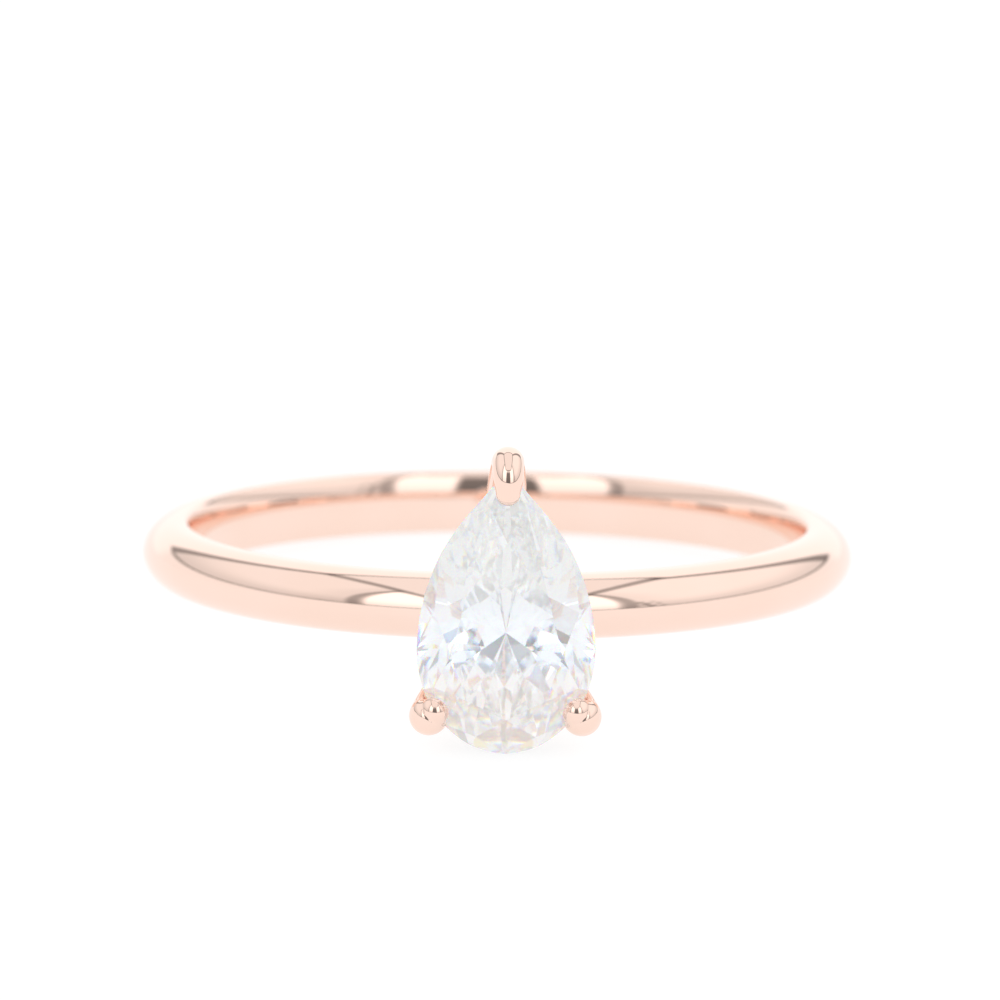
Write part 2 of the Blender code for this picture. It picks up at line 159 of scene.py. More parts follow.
class Nodes:
    """Short calls that add and join the shader nodes of one tree."""

    def __init__(self, tree):
        self.tree = tree

    def add(self, kind, settings=None, **inputs):
        node = self.tree.nodes.new(kind)
        for name, value in (settings or {}).items():
            setattr(node, name, value)
        for name, value in inputs.items():
            self.feed(node.inputs[name.replace("_", " ")], value)
        return node

    def feed(self, socket, value):
        if isinstance(value, bpy.types.NodeSocket):
            self.tree.links.new(value, socket)
        elif isinstance(value, bpy.types.Node):
            self.tree.links.new(value.outputs[0], socket)
        else:
            socket.default_value = value

    def math(self, operation, *values):
        node = self.tree.nodes.new("ShaderNodeMath")
        node.operation = operation
        for socket, value in zip(node.inputs, values):
            self.feed(socket, value)
        return node.outputs[0]

    def step(self, value, start, end, low, high):
        """`low` before start, `high` after end, and a smooth change between them."""
        node = self.add("ShaderNodeMapRange", {"interpolation_type": "SMOOTHSTEP"})
        for name, number in zip(
            ("Value", "From Min", "From Max", "To Min", "To Max"), (value, start, end, low, high)
        ):
            self.feed(node.inputs[name], number)
        return node.outputs[0]

    def noise(self, vector, scale, detail, roughness):
        return self.add(
            "ShaderNodeTexNoise", Vector=vector, Scale=scale, Detail=detail, Roughness=roughness
        ).outputs["Fac"]

    def mix(self, factor, first, second):
        node = self.add("ShaderNodeMix", {"data_type": "RGBA"})
        colours = [socket for socket in node.inputs if socket.type == "RGBA"]
        for socket, value in zip((node.inputs["Factor"], *colours), (factor, first, second)):
            self.feed(socket, value)
        return next(socket for socket in node.outputs if socket.type == "RGBA")

    def product(self, first, *others):
        for other in others:
            first = self.math("MULTIPLY", first, other)
        return first

    def between(self, share, first, second):
        """`first` where the share is 0, `second` where it is 1."""
        return self.math(
            "ADD",
            self.math("MULTIPLY", first, self.math("SUBTRACT", 1.0, share)),
            self.math("MULTIPLY", second, share),
        )

    def near(self, value, centre, reach, inside):
        """`inside` up to reach[0] from the centre, and 1 beyond reach[1]."""
        away = self.math("ABSOLUTE", self.math("SUBTRACT", value, centre))
        return self.step(away, *reach, inside, 1.0)

    def together(self, first, second):
        node = self.tree.nodes.new("ShaderNodeAddShader")
        for socket, shader in zip(node.inputs, (first, second)):
            self.feed(socket, shader)
        return node

    def blended(self, share, first, second):
        node = self.tree.nodes.new("ShaderNodeMixShader")
        for socket, shader in zip(node.inputs, (share, first, second)):
            self.feed(socket, shader)
        return node


def new_material(name):
    material = bpy.data.materials.new(name)
    material.use_nodes = True
    material.node_tree.nodes.clear()
    return material, Nodes(material.node_tree)


# Gold. A noise is its scale in waves per metre, its detail and its roughness.
ALLOY_NOISE = (260.0, 2.0, 0.5)
BUFFING_NOISE = (1400.0, 4.0, 0.6)
WAVE_NOISE = (900.0, 1.0, 0.5)
HAIRLINE_STRETCH = (900.0, 900.0, 26000.0)  # drawn out around the finger axis
HAIRLINE_NOISE = (1.0, 2.0, 0.7)
ALLOY_CHANGE = (0.35, 0.65)  # between these values of its noise, one alloy turns into the other
BUFFED = (0.5, 0.8)
HAIRLINES = (0.45, 0.75)
WEAR = 0.1  # roughness added where the buffing left both haze and hairlines
HAIRLINE_DEPTH = 0.00000003


def polished_gold(name, colour, deeper, roughness, ripple):
    """Mirror-polished gold: a drift of alloy colour, buffing haze, hairlines and a slight ripple."""
    material, nodes = new_material(name)
    place = nodes.add("ShaderNodeTexCoord").outputs["Object"]
    drift = nodes.noise(place, *ALLOY_NOISE)
    tint = nodes.mix(nodes.step(drift, *ALLOY_CHANGE, 0.0, 1.0), (*colour, 1), (*deeper, 1))
    haze_and_painted_glow = nodes.noise(place, *BUFFING_NOISE)
    stretch = nodes.add("ShaderNodeMapping", Vector=place, Scale=HAIRLINE_STRETCH)
    hairlines = nodes.noise(stretch.outputs[0], *HAIRLINE_NOISE)
    hazy = nodes.step(haze_and_painted_glow, *BUFFED, 0.0, 1.0)
    scratched = nodes.step(hairlines, *HAIRLINES, 0.0, 1.0)
    rough = nodes.math("ADD", roughness, nodes.product(hazy, scratched, WEAR))
    waves = nodes.product(nodes.noise(place, *WAVE_NOISE), ripple)
    height = nodes.math("ADD", waves, nodes.product(hairlines, HAIRLINE_DEPTH))
    bump = nodes.add("ShaderNodeBump", Height=height, Strength=1.0, Distance=1.0)
    shader = nodes.add(
        "ShaderNodeBsdfPrincipled",
        Base_Color=tint,
        Metallic=1.0,
        Roughness=rough,
        Normal=bump.outputs[0],
    )
    output = nodes.add("ShaderNodeOutputMaterial")
    nodes.feed(output.inputs["Surface"], shader.outputs[0])
    return material


# Diamond. Heights are in millimetres along the finger from the stone's widest line.
DIAMOND_IOR = 2.42
FIRE = (-0.024, 0.0, 0.036)  # how far the index of red, green and blue light lies from that
CRYSTAL = (0.985, 0.993, 1.0)
HAZE_AND_GLOW_HEIGHTS = (0.6, 2.0)  # the milky painted glow and the rough pavilion near the point start, and are full
# Painted glow near the point, an emission that stands for light a milky haze would scatter: its share
# and colour
PAINTED_HAZE_GLOW, PAINTED_HAZE_GLOW_COLOUR = 0.52, (0.87, 0.865, 0.845)
WISP_NOISE = (2600.0, 5.0, 0.6)
WISP_CHANGE = (0.35, 0.65)
WISP_SHARES = (0.7, 1.2)  # share of the painted haze glow between its wisps and in them
HAZE_ROUGHNESS = 0.03  # of the pavilion's facets under the painted haze glow
# Painted cool glow, an emission over the crown's table: its share and colour
PAINTED_TABLE_GLOW, PAINTED_TABLE_GLOW_COLOUR = 0.12, (0.8, 0.84, 0.93)
GOLD_GLOW_HEIGHTS = (-0.9, 0.0)  # the painted warm glow over the round end, which stands for light thrown back by the gold, is full, and ends
# Painted reflection of the gold, a warm emission over the round end: its share and colour
PAINTED_GOLD_GLOW, PAINTED_GOLD_GLOW_COLOUR = 0.22, (0.94, 0.845, 0.775)
INNER_PAINTED_GLOW = 0.2  # share of the painted glow that light inside the stone meets
CROWN_FACING = (-0.2, -0.05)  # y of the normals: all crown, and none
PAVILION_FACING = (0.05, 0.2)  # no pavilion, and all


def brilliant_crystal(name):
    """Diamond with fire where light enters, and painted glow mixed over its crown: a milky painted
    glow near its point, a cool painted glow over the table and a warm painted reflection of the gold
    over its round end."""
    material, nodes = new_material(name)
    geometry = nodes.add("ShaderNodeNewGeometry")
    height = nodes.add("ShaderNodeSeparateXYZ", Vector=geometry.outputs["Position"]).outputs["Z"]
    facing = nodes.add("ShaderNodeSeparateXYZ", Vector=geometry.outputs["True Normal"]).outputs["Y"]
    first_hit = nodes.tree.nodes.new("ShaderNodeLightPath").outputs["Is Camera Ray"]
    widest = BORE_CENTRE[2] + WIDEST_Z
    haze_and_glow_start, haze_and_glow_full = ((widest + offset) * MM for offset in HAZE_AND_GLOW_HEIGHTS)
    gold_glow_full, gold_glow_end = ((widest + offset) * MM for offset in GOLD_GLOW_HEIGHTS)
    near_point = nodes.step(height, haze_and_glow_start, haze_and_glow_full, 0.0, 1.0)
    near_round = nodes.step(height, gold_glow_full, gold_glow_end, 1.0, 0.0)
    in_crown = nodes.step(facing, *CROWN_FACING, 1.0, 0.0)
    in_pavilion = nodes.step(facing, *PAVILION_FACING, 0.0, 1.0)

    place = nodes.add("ShaderNodeTexCoord").outputs["Object"]
    wisps = nodes.noise(place, *WISP_NOISE)
    # Painted glow near the point, patchy in wisps
    painted_haze_share = nodes.product(near_point, nodes.step(wisps, *WISP_CHANGE, *WISP_SHARES), PAINTED_HAZE_GLOW)
    # Painted reflection of the gold over the round end
    painted_gold_share = nodes.product(near_round, PAINTED_GOLD_GLOW)
    # All the painted glow, with the cool painted glow over the table; only on the crown, and mostly
    # for camera rays
    haze_and_painted_glow = nodes.math("ADD", nodes.math("ADD", painted_haze_share, painted_gold_share), PAINTED_TABLE_GLOW)
    met = nodes.step(first_hit, 0.0, 1.0, INNER_PAINTED_GLOW, 1.0)
    haze_and_painted_glow = nodes.product(haze_and_painted_glow, nodes.product(in_crown, met))
    glow_colour = nodes.mix(near_round, (*PAINTED_TABLE_GLOW_COLOUR, 1), (*PAINTED_GOLD_GLOW_COLOUR, 1))
    glow_colour = nodes.mix(near_point, glow_colour, (*PAINTED_HAZE_GLOW_COLOUR, 1))
    rough = nodes.product(in_pavilion, near_point, HAZE_ROUGHNESS)

    def glass(colour, index):
        return nodes.add("ShaderNodeBsdfGlass", Color=(*colour, 1), Roughness=rough, IOR=index)

    fire = None
    for channel, shift in enumerate(FIRE):
        colour = [0.0, 0.0, 0.0]
        colour[channel] = CRYSTAL[channel]
        part = glass(colour, DIAMOND_IOR + shift)
        fire = nodes.together(fire, part) if fire else part
    crystal = nodes.blended(first_hit, glass(CRYSTAL, DIAMOND_IOR), fire)
    # The painted glow itself: an emission, though the stone is no lamp
    glow = nodes.add("ShaderNodeEmission", Color=glow_colour, Strength=1.0)
    output = nodes.add("ShaderNodeOutputMaterial")
    nodes.feed(output.inputs["Surface"], nodes.blended(haze_and_painted_glow, crystal, glow))
    return material


# Meshes


def mesh_of(name, points, faces):
    mesh = bpy.data.meshes.new(name)
    mesh.from_pydata([tuple((BORE_CENTRE + point) * MM) for point in points], [], faces)
    mesh.validate()
    return mesh


def add_object(mesh):
    thing = bpy.data.objects.new(mesh.name, mesh)
    bpy.context.scene.collection.objects.link(thing)
    return thing


def carved(mesh, cutters, folded=False):
    """The mesh with every cutter's volume taken away; `folded` if it passes through itself."""
    thing = add_object(mesh)
    for cutter in cutters:
        boolean = thing.modifiers.new(cutter.name, "BOOLEAN")
        boolean.operation = "DIFFERENCE"
        boolean.solver = "EXACT"
        boolean.use_self = folded
        boolean.object = cutter
    graph = bpy.context.evaluated_depsgraph_get()
    result = bpy.data.meshes.new_from_object(thing.evaluated_get(graph))
    result.name = mesh.name
    bpy.data.objects.remove(thing)
    return result


def add_piece(name, mesh, material, *nodes):
    """A finished piece that stands for the named CAD nodes."""
    mesh.name = name
    piece = add_object(mesh)
    piece.name = name
    mesh.materials.clear()
    mesh.materials.append(material)
    mesh.shade_smooth()
    mesh.set_sharp_from_angle(angle=SHARP_ANGLE)
    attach(piece, "root")
    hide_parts(*nodes)


def rings_to_mesh(name, rings, closed, start_pole=None, end_pole=None):
    """A tube through rings of points: closed on itself, or closed at each end by a pole point."""
    count, sides = len(rings), len(rings[0])
    points = [point for ring in rings for point in ring]
    faces = []
    for i in range(count if closed else count - 1):
        first, second = i * sides, (i + 1) % count * sides
        for k in range(sides):
            turn = (k + 1) % sides
            faces.append([first + k, first + turn, second + turn, second + k])
    for pole, ring, order in ((start_pole, 0, 1), (end_pole, (count - 1) * sides, -1)):
        if pole is None:
            continue
        points.append(pole)
        for k in range(sides):
            corners = [ring + (k + 1) % sides, ring + k, len(points) - 1]
            faces.append(corners[::order])
    return mesh_of(name, points, faces)


# Band


def section_points():
    """The band's section as (radius, z), from the outer crest down one side and back up the other."""
    dome = OUTER_RADIUS - WIDEST_RADIUS - SIDE_FLAT / 2
    comfort = COMFORT_RISE - SIDE_FLAT / 2
    right = []
    for rise, base, power in (
        (dome, WIDEST_RADIUS + SIDE_FLAT / 2, DOME_POWER),
        (-comfort, WIDEST_RADIUS - SIDE_FLAT / 2, COMFORT_POWER),
    ):
        quarter = []
        for step in range(SECTION_STEPS + 1):
            angle = math.pi / 2 * step / SECTION_STEPS
            radius = base + rise * max(math.cos(angle), 0) ** (2 / power)
            quarter.append((radius, HALF_WIDTH * math.sin(angle) ** (2 / power)))
        right += quarter if rise > 0 else quarter[::-1]
    return right + [(radius, -z) for radius, z in right[-2:0:-1]]


def spun_section(name, start, end, steps):
    """The section swept about the finger axis between two angles from the back of the band."""
    section = section_points()
    rings = []
    for angle in np.linspace(start, end, steps + 1):
        across, back = math.sin(angle), math.cos(angle)
        rings.append([np.array([radius * across, radius * back, z]) for radius, z in section])
    mesh = rings_to_mesh(name, rings, closed=False)
    shape = bmesh.new()
    shape.from_mesh(mesh)
    bmesh.ops.holes_fill(shape, edges=shape.edges, sides=0)
    bmesh.ops.recalc_face_normals(shape, faces=shape.faces)
    shape.to_mesh(mesh)
    shape.free()
    return mesh


def band_mesh():
    half_seam = SEAM_WIDTH / 2 / WIDEST_RADIUS
    mesh = spun_section("band", half_seam, 2 * math.pi - half_seam, BAND_STEPS)
    shape = bmesh.new()
    shape.from_mesh(mesh)
    trimmed = bmesh.ops.bisect_plane(
        shape,
        geom=shape.verts[:] + shape.edges[:] + shape.faces[:],
        plane_co=(BORE_CENTRE + at(0, 0, SEAT_OUT)) * MM,
        plane_no=OUT,
        dist=ON_PLANE,
        clear_outer=True,
    )
    rim = [part for part in trimmed["geom_cut"] if isinstance(part, bmesh.types.BMEdge)]
    bmesh.ops.edgeloop_fill(shape, edges=rim)
    bmesh.ops.recalc_face_normals(shape, faces=shape.faces)
    shape.to_mesh(mesh)
    shape.free()
    return mesh


def seam_mesh():
    half_seam = (SEAM_WIDTH / 2 - SEAM_GAP) / WIDEST_RADIUS
    return spun_section("seam", -half_seam, half_seam, 2)


# Head


def arc(centre, radius, start, end, steps):
    """Points (x, z) on a circle, angles in radians from +x, without the last one."""
    angles = np.linspace(start, end, steps, endpoint=False)
    return [(centre[0] + radius * math.cos(a), centre[1] + radius * math.sin(a)) for a in angles]


def half_pear(half_width, wing_radius, depth, widest_z, tip_radius, steps):
    """The right half of a pear from its point down to its round end: a tip arc, a straight flank,
    a wing arc and a quarter ellipse."""
    wing_x = half_width - wing_radius
    flank_end = (
        wing_x + wing_radius * math.cos(FLANK_ANGLE),
        widest_z + wing_radius * math.sin(FLANK_ANGLE),
    )
    tip_z = flank_end[1] + flank_end[0] / math.tan(FLANK_ANGLE) - tip_radius / math.sin(FLANK_ANGLE)
    flank_start = (tip_radius * math.cos(FLANK_ANGLE), tip_z + tip_radius * math.sin(FLANK_ANGLE))
    flank_steps = steps // 8
    points = arc((0, tip_z), tip_radius, math.pi / 2, FLANK_ANGLE, flank_steps)
    points += [tuple(p) for p in np.linspace(flank_start, flank_end, flank_steps, endpoint=False)]
    points += arc((wing_x, widest_z), wing_radius, FLANK_ANGLE, 0, steps // 2 - flank_steps)
    for step in range(steps // 2 + 1):
        angle = math.pi * step / steps
        points.append((half_width * math.cos(angle), widest_z - depth * math.sin(angle)))
    return points


def spread(out):
    """How far the claws stand apart at this height, as a share of their spread at the girdle."""
    return FOOT_SHARE + (1 - FOOT_SHARE) * (out - BASE_OUT) / (GIRDLE_OUT - BASE_OUT)


def rail_path(out):
    share = spread(out)
    half = half_pear(
        share * STONE_HALF_WIDTH - RAIL_INSET,
        share * WING_RADIUS - RAIL_INSET,
        share * ROUND_DEPTH - RAIL_INSET,
        share * WIDEST_Z,
        RAIL_TIP_RADIUS,
        RAIL_STEPS,
    )
    return [at(x, z, out) for x, z in half + [(-x, z) for x, z in half[-2:0:-1]]]


def ring_round(centre, heading, side, radius, sides):
    across = np.cross(heading, side)
    across /= np.linalg.norm(across)
    turns = np.linspace(0, 2 * math.pi, sides, endpoint=False)
    return [centre + radius * (side * math.cos(turn) + across * math.sin(turn)) for turn in turns]


def rail_mesh(name, out, radius):
    path = rail_path(out)
    rings = []
    for i, centre in enumerate(path):
        heading = path[(i + 1) % len(path)] - path[i - 1]
        rings.append(ring_round(centre, heading, OUT, radius, RAIL_SIDES))
    return rings_to_mesh(name, rings, closed=True)


def smooth_through(points, steps):
    """A curve through the points (rows of numbers), with `steps` samples in each span."""
    points = np.array(points)
    padded = np.vstack([2 * points[0] - points[1], points, 2 * points[-1] - points[-2]])
    spans = np.linalg.norm(np.diff(padded[:, :3], axis=0), axis=1)
    knots = np.concatenate([[0], np.cumsum(spans**0.5)])
    samples = []
    for i in range(1, len(padded) - 2):
        slopes = []
        for k in (i, i + 1):
            before = (padded[k] - padded[k - 1]) / (knots[k] - knots[k - 1])
            after = (padded[k + 1] - padded[k]) / (knots[k + 1] - knots[k])
            gap_before, gap_after = knots[k] - knots[k - 1], knots[k + 1] - knots[k]
            slopes.append((before * gap_after + after * gap_before) / (gap_before + gap_after))
        span = knots[i + 1] - knots[i]
        for t in np.linspace(0, 1, steps, endpoint=False):
            samples.append(
                (2 * t**3 - 3 * t**2 + 1) * padded[i]
                + (t**3 - 2 * t**2 + t) * span * slopes[0]
                + (3 * t**2 - 2 * t**3) * padded[i + 1]
                + (t**3 - t**2) * span * slopes[1]
            )
    samples.append(points[-1])
    return np.array(samples)


def claw_line(which):
    """The claw's centre line and radius from foot to tip, as rows of x, y, z and radius."""
    root = np.array(CLAW_ROOTS[which])
    reach = np.linalg.norm(root)
    radial = at(*(root / reach), 0)
    rows = []
    foot = (BASE_OUT - CLAW_FOOT_DROP, CLAW_FOOT_RADIUS)
    for out, radius in (foot, (RAILS["gallery"][0], CLAW_RADIUS)):
        rows.append([*(radial * reach * spread(out) + OUT * out), radius])
    for inward, height, radius in POINT_CLAW_BEND if which == "point" else SIDE_CLAW_BEND:
        rows.append([*(radial * (reach - inward) + OUT * (GIRDLE_OUT + height)), radius])
    return smooth_through(rows, CLAW_STEPS), np.cross(radial, OUT)


def claw_mesh(name, which, grow=0.0):
    line, side = claw_line(which)
    rings = []
    for i, row in enumerate(line):
        heading = line[min(i + 1, len(line) - 1), :3] - line[max(i - 1, 0), :3]
        rings.append(ring_round(row[:3], heading, side, row[3] + grow, CLAW_SIDES))
    poles = []
    for end, inner in ((0, 1), (-1, -2)):
        heading = line[end, :3] - line[inner, :3]
        heading /= np.linalg.norm(heading)
        centre, radius = line[end, :3], line[end, 3] + grow
        cap = []
        for step in range(1, TIP_STEPS):
            angle = math.pi / 2 * step / TIP_STEPS
            middle = centre + heading * radius * math.sin(angle)
            forward = heading if end else -heading
            cap.append(ring_round(middle, forward, side, radius * math.cos(angle), CLAW_SIDES))
        rings = rings + cap if end else cap[::-1] + rings
        poles.append(centre + heading * radius)
    return rings_to_mesh(name, rings, False, *poles)


def bead_mesh(name, centre, half_sizes, axes, flat_below=False):
    """An ellipsoid, or the half of it beyond its centre plane, with half_sizes along the axes."""
    shape = bmesh.new()
    bmesh.ops.create_uvsphere(shape, u_segments=BEAD_SEGMENTS, v_segments=BEAD_RINGS, radius=1)
    if flat_below:
        geometry = shape.verts[:] + shape.edges[:] + shape.faces[:]
        bmesh.ops.bisect_plane(shape, geom=geometry, plane_no=(0, 0, 1), clear_inner=True)
        bmesh.ops.holes_fill(shape, edges=shape.edges)
    for vertex in shape.verts:
        offset = sum(axis * size * share for axis, size, share in zip(axes, half_sizes, vertex.co))
        vertex.co = (BORE_CENTRE + centre + offset) * MM
    bmesh.ops.recalc_face_normals(shape, faces=shape.faces)
    mesh = bpy.data.meshes.new(name)
    shape.to_mesh(mesh)
    shape.free()
    return mesh


def stone_room():
    """The stone's own shape made a little larger, to notch the claws."""
    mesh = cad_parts["diamond"].data.copy()
    middle = (BORE_CENTRE + at(0, WIDEST_Z, GIRDLE_OUT)) * MM
    mesh.transform(
        Matrix.Translation(middle) @ Matrix.Scale(STONE_ROOM, 4) @ Matrix.Translation(-Vector(middle))
    )
    shape = bmesh.new()
    shape.from_mesh(mesh)
    bmesh.ops.remove_doubles(shape, verts=shape.verts, dist=SAME_POINT)
    shape.to_mesh(mesh)
    shape.free()
    return add_object(mesh)


def build_head(gold, alloy):
    """Rails, claws notched for the stone and the rails, and solder wherever they meet."""
    growths = {"skin": GAP, "film": GAP + SOLDER_FILM, "notch": 2 * GAP + SOLDER_FILM}
    cutters = {kind: {} for kind in growths}
    for rail, (out, radius) in RAILS.items():
        add_piece(f"{rail}_rail_wire", rail_mesh(rail, out, radius), gold, f"{rail}_rail")
        for kind, growth in growths.items():
            cutters[kind][rail] = add_object(rail_mesh(f"{rail}_{kind}", out, radius + growth))
    room = stone_room()
    helpers = [room] + [cutter for kind in cutters.values() for cutter in kind.values()]
    for which, root in CLAW_ROOTS.items():
        folded = which == "point"
        claw = carved(claw_mesh(which, which), [room, *cutters["notch"].values()], folded)
        add_piece(f"claw_{which}_wire", claw, gold, f"claw_{which}")
        room_mesh = carved(claw_mesh(f"{which}_room", which, GAP), cutters["film"].values())
        claw_room = add_object(room_mesh)
        helpers.append(claw_room)
        radial = at(*(np.array(root) / np.linalg.norm(root)), 0)
        axes = (np.cross(radial, OUT), OUT, radial)
        for rail, (out, radius) in RAILS.items():
            claw_centre = at(*(np.array(root) * spread(out)), out)
            nearest = min(rail_path(out), key=lambda point: np.linalg.norm(point - claw_centre))
            half_sizes = (BEAD_LENGTH, radius + BEAD_RISE, BEAD_DEPTH)
            bead = bead_mesh("bead", nearest + radial * BEAD_SHIFT, half_sizes, axes)
            bead = carved(bead, [cutters["skin"][rail], claw_room])
            add_piece(f"{rail}_bead_{which}", bead, alloy, f"{rail}_solder_{which}")
    right_half = [point for point in rail_path(BASE_OUT) if point[0] > 0]
    crossing = min(right_half, key=lambda point: abs(point[2]))
    for side, sign in (("left", -1), ("right", 1)):
        centre = at(sign * crossing[0], 0, SEAT_OUT + GAP)
        bead = bead_mesh("bead", centre, HEAD_BEAD, (ACROSS, ALONG, OUT), flat_below=True)
        bead = carved(bead, [cutters["skin"]["base"]])
        add_piece(f"head_bead_{side}", bead, alloy, f"head_solder_{side}")
    for helper in helpers:
        bpy.data.objects.remove(helper)


# Studio

# The light tent, in a frame tipped like the ring on its table. All angles are in degrees: a turn
# counts from the camera's side (-Y) towards +X, and a height from the table upwards. A pair such
# as BACK_WALL is where a fade starts and where it ends.
TENT_TILT = math.radians(10.1)
BACK_WALL = (140.0, 152.0)  # the side walls give way to the back wall
BACK_TOP = 49.5  # height where the roof meets the back wall
BACK_TOP_FADE = 1.0
BACK_CORNERS = (-149.5, 145.0)
CORNER_BREADTH, CORNER_SHADE = 4.8, 0.3  # half breadth of the dark corners, and their light
EDGE_FADE = (0.45, 1.25)  # a dark edge's own fade, as shares of its half breadth
POSTS = ((-45.0, -0.26, 4.0), (40.5, 0.18, 4.2))  # turn at the table, lean, half breadth
POST_SHADE = 0.5
POST_INNER_FADE = 3.0
BESIDE_POST, BESIDE_POST_SHADE = (4.0, 26.0), 0.9  # the wall next to a post is a little darker
CREASES = ((49.8, 1.8, 0.5), (54.5, 1.2, 0.75))  # behind the right post: turn, half breadth, shade
CREASE_TOP, CREASE_FADE = 26.0, 4.0
RIPPLE, RIPPLE_PITCH = 0.9, 8.5  # how far the creases wander, and the height of one wave
SKIRT = (10.0, 6.5)  # height of the dark line at the foot of the left and right walls
SKIRT_CHANGE = 30.0  # its height changes from left to right between turns of plus and minus this
SKIRT_FADE = 0.6
SKIRT_LINE, SKIRT_SHADE = (0.7, 1.8), 0.36
FOLD_HEIGHT, FOLD_SHADE = 25.0, 0.76  # the wall is darker just above that line
MIDDLE_FADE = 1.0  # between the left and the right half of the tent
WINDOW_START = (14.0, 18.0)  # the bright front panels begin beside the opening
WINDOW_TOP = (54.0, 66.0)
OPENING_MIDDLE = -1.6  # the dark opening that the camera looks through
OPENING_EDGE = (14.6, 18.6)
OPENING_TOP = (39.0, 49.0)
ROOF = 2.36  # height of the roof over the distance of a side wall
ROOF_FADE = 0.05
LEAST_REACH = 0.2  # keeps the roof's line finite straight ahead and behind
ROOF_SEAM, ROOF_SEAM_SHADE = (0.1, 0.3), 0.42
BACK_SEAM, BACK_SEAM_SHADE = (0.8, 2.2), 0.33
SIDE_LIGHTS = (1.03, 1.12)  # left and right wall
FRONT_LIGHT = 1.0
WINDOW_LIGHT = 1.5
OPENING_LIGHT = 0.22
BACK_LIGHT = 1.18
ROOF_LIGHT = 1.0
TABLE_LIGHT = 1.04


def tent_directions(nodes):
    """Where a ray goes in the tent: x, height share, and its turn and height in degrees."""
    facing = nodes.add("ShaderNodeTexCoord").outputs["Generated"]
    tipped = nodes.add(
        "ShaderNodeVectorRotate", {"rotation_type": "X_AXIS"}, Vector=facing, Angle=-TENT_TILT
    )
    part = nodes.add("ShaderNodeSeparateXYZ", Vector=tipped)
    x, y, z = (part.outputs[axis] for axis in "XYZ")
    turn = nodes.math("DEGREES", nodes.math("ARCTAN2", x, nodes.math("MULTIPLY", y, -1.0)))
    height = nodes.math("DEGREES", nodes.math("ARCSINE", z))
    return x, z, turn, height


def tent_edge(nodes, turn, centre, half_breadth, shade):
    inner, outer = EDGE_FADE
    return nodes.near(turn, centre, (half_breadth * inner, half_breadth * outer), shade)


def tent_posts(nodes, turn, height, on_right):
    """The light left by the dark posts and creases, and the turn of the post on a ray's side."""
    shades, borders = [], []
    for start, lean, half_breadth in POSTS:
        centre = nodes.math("ADD", start, nodes.product(height, lean))
        shades.append(tent_edge(nodes, turn, centre, half_breadth, POST_SHADE))
        borders.append(nodes.math("ABSOLUTE", centre))
    sway = nodes.math("SINE", nodes.product(height, 2 * math.pi / RIPPLE_PITCH))
    sway = nodes.product(sway, RIPPLE)
    below_top = nodes.step(height, CREASE_TOP - CREASE_FADE, CREASE_TOP + CREASE_FADE, 1.0, 0.0)
    for start, half_breadth, shade in CREASES:
        crease = tent_edge(nodes, turn, nodes.math("ADD", start, sway), half_breadth, shade)
        shades.append(nodes.between(below_top, 1.0, crease))
    return nodes.product(*shades), nodes.between(on_right, *borders)


def tent_walls(nodes, turn, height, above_skirt, at_back):
    """Front with its bright panels and dark opening, side walls and back wall."""
    around = nodes.math("ABSOLUTE", turn)
    on_right = nodes.step(turn, -MIDDLE_FADE, MIDDLE_FADE, 0.0, 1.0)
    posts, border = tent_posts(nodes, turn, height, on_right)
    inside = nodes.step(nodes.math("SUBTRACT", border, around), 0.0, POST_INNER_FADE, 0.0, 1.0)
    past_post = nodes.math("SUBTRACT", around, border)
    beside_post = nodes.step(past_post, *BESIDE_POST, BESIDE_POST_SHADE, 1.0)
    sides = nodes.product(nodes.between(on_right, *SIDE_LIGHTS), beside_post)

    window = nodes.product(inside, nodes.step(around, *WINDOW_START, 0.0, 1.0))
    window = nodes.product(window, nodes.step(height, *WINDOW_TOP, 1.0, 0.0))
    from_opening = nodes.math("ABSOLUTE", nodes.math("SUBTRACT", turn, OPENING_MIDDLE))
    opening = nodes.product(
        nodes.step(from_opening, *OPENING_EDGE, 1.0, 0.0),
        nodes.step(height, *OPENING_TOP, 1.0, 0.0),
    )
    walls = nodes.between(at_back, sides, BACK_LIGHT)
    walls = nodes.between(inside, walls, FRONT_LIGHT)
    walls = nodes.between(window, walls, WINDOW_LIGHT)
    walls = nodes.between(opening, walls, OPENING_LIGHT)

    fold = nodes.step(above_skirt, 0.0, FOLD_HEIGHT, FOLD_SHADE, 1.0)
    fold = nodes.between(at_back, fold, 1.0)
    corners = nodes.product(
        *(tent_edge(nodes, turn, corner, CORNER_BREADTH, CORNER_SHADE) for corner in BACK_CORNERS)
    )
    return nodes.product(walls, fold, corners, posts)


def under_roof(nodes, walls, x, z, height):
    """The walls up to the roof, with the dark seams where it meets the sides and the back."""
    reach = nodes.math("MAXIMUM", nodes.math("ABSOLUTE", x), LEAST_REACH)
    roof_line = nodes.math("SUBTRACT", nodes.math("DIVIDE", z, reach), ROOF)
    over_sides = nodes.step(roof_line, -ROOF_FADE, ROOF_FADE, 0.0, 1.0)
    over_back = nodes.math("SUBTRACT", height, BACK_TOP)
    high = nodes.step(over_back, -BACK_TOP_FADE, BACK_TOP_FADE, 0.0, 1.0)
    side_seam = nodes.near(roof_line, 0.0, ROOF_SEAM, ROOF_SEAM_SHADE)
    back_seam = nodes.near(over_back, 0.0, BACK_SEAM, BACK_SEAM_SHADE)
    light = nodes.between(nodes.product(over_sides, high), walls, ROOF_LIGHT)
    seams = (nodes.between(high, 1.0, side_seam), nodes.between(over_sides, 1.0, back_seam))
    return nodes.product(light, *seams)


